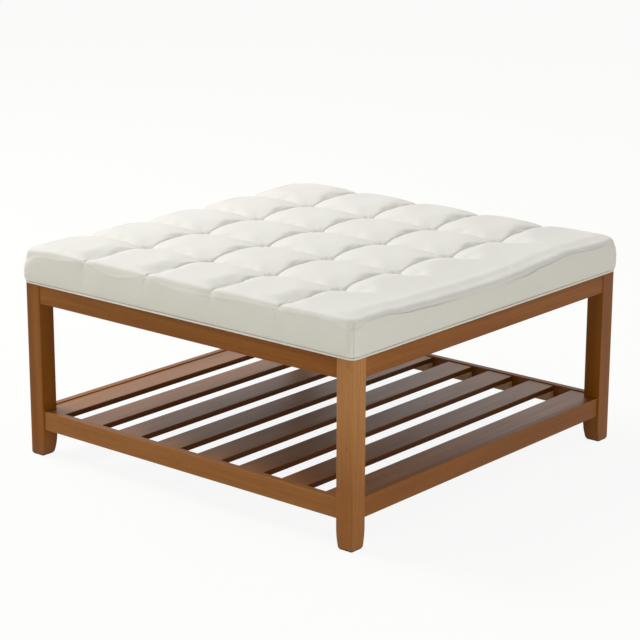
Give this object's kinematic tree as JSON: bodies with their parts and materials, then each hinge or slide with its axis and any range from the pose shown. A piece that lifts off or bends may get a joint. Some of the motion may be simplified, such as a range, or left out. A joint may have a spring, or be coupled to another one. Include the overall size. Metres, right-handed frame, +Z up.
{
  "type": "ottoman coffee table",
  "caption": "Square ottoman coffee table: tufted pale cushion fixed on an open stained-wood frame with a slatted lower shelf.",
  "frame": {"origin": "on the floor under the middle of the table", "axes": "+Z up; +X to the right and -Y to the front, with the shelf slats along Y"},
  "size_m": [0.9118, 0.9118, 0.4686],
  "materials": {
    "stained_wood": "golden brown stain under satin lacquer",
    "bare_wood": "sawn and sanded, unfinished",
    "plywood": "sanded plywood",
    "foam": "open-cell upholstery foam",
    "cover_cloth": "matt ivory woven upholstery cloth",
    "twine": "waxed tufting twine",
    "dust_cloth": "black non-woven",
    "screw_steel": "zinc plated",
    "foot_rubber": "matt black"
  },
  "bodies": {
    "root": {"leg_front_left": "stained_wood", "leg_front_right": "stained_wood", "leg_back_right": "stained_wood", "leg_back_left": "stained_wood", "apron_front": "stained_wood", "apron_right": "stained_wood", "apron_back": "stained_wood", "apron_left": "stained_wood", "shelf_rail_front": "stained_wood", "shelf_rail_right": "stained_wood", "shelf_rail_back": "stained_wood", "shelf_rail_left": "stained_wood", "shelf_slat_1": "stained_wood", "shelf_slat_2": "stained_wood", "shelf_slat_3": "stained_wood", "shelf_slat_4": "stained_wood", "shelf_slat_5": "stained_wood", "shelf_slat_6": "stained_wood", "shelf_slat_7": "stained_wood", "shelf_slat_8": "stained_wood", "slat_cleats_front": "bare_wood", "slat_cleats_back": "bare_wood", "corner_block_front_left": "bare_wood", "corner_block_front_right": "bare_wood", "corner_block_back_right": "bare_wood", "corner_block_back_left": "bare_wood", "cushion_bearer": "bare_wood", "foot_pad_front_left": "foot_rubber", "foot_pad_front_right": "foot_rubber", "foot_pad_back_right": "foot_rubber", "foot_pad_back_left": "foot_rubber", "cushion_deck": "plywood", "foam_pad": "foam", "cushion_cover": "cover_cloth", "cushion_piping": "cover_cloth", "tuft_ties": "twine", "dust_cover": "dust_cloth", "slat_screws": "screw_steel", "corner_block_screws": "screw_steel", "deck_screws": "screw_steel"}
  },
  "joints": []
}
